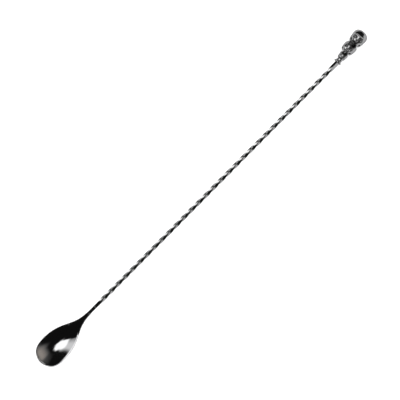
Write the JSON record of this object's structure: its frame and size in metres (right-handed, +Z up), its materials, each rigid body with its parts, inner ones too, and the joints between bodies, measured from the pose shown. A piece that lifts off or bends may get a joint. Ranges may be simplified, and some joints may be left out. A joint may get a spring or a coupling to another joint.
{
  "type": "bar spoon",
  "caption": "Long bar spoon with a teardrop bowl, a twisted square rod and a collar under a stack of skull beads.",
  "frame": {"origin": "half way along the spoon, under its long axis, on the table plane it lies on", "axes": "+X from the bowl to the finial, +Z up with the bowl opening up, +Y to the left when the finial points away"},
  "size_m": [0.4006, 0.0264, 0.0141],
  "materials": {
    "black_nickel": "polished black nickel plate on stainless steel"
  },
  "bodies": {
    "root": {"bowl": "black_nickel", "shaft": "black_nickel", "collar": "black_nickel", "lower_skull": "black_nickel", "middle_skull": "black_nickel", "top_skull": "black_nickel"}
  },
  "joints": []
}
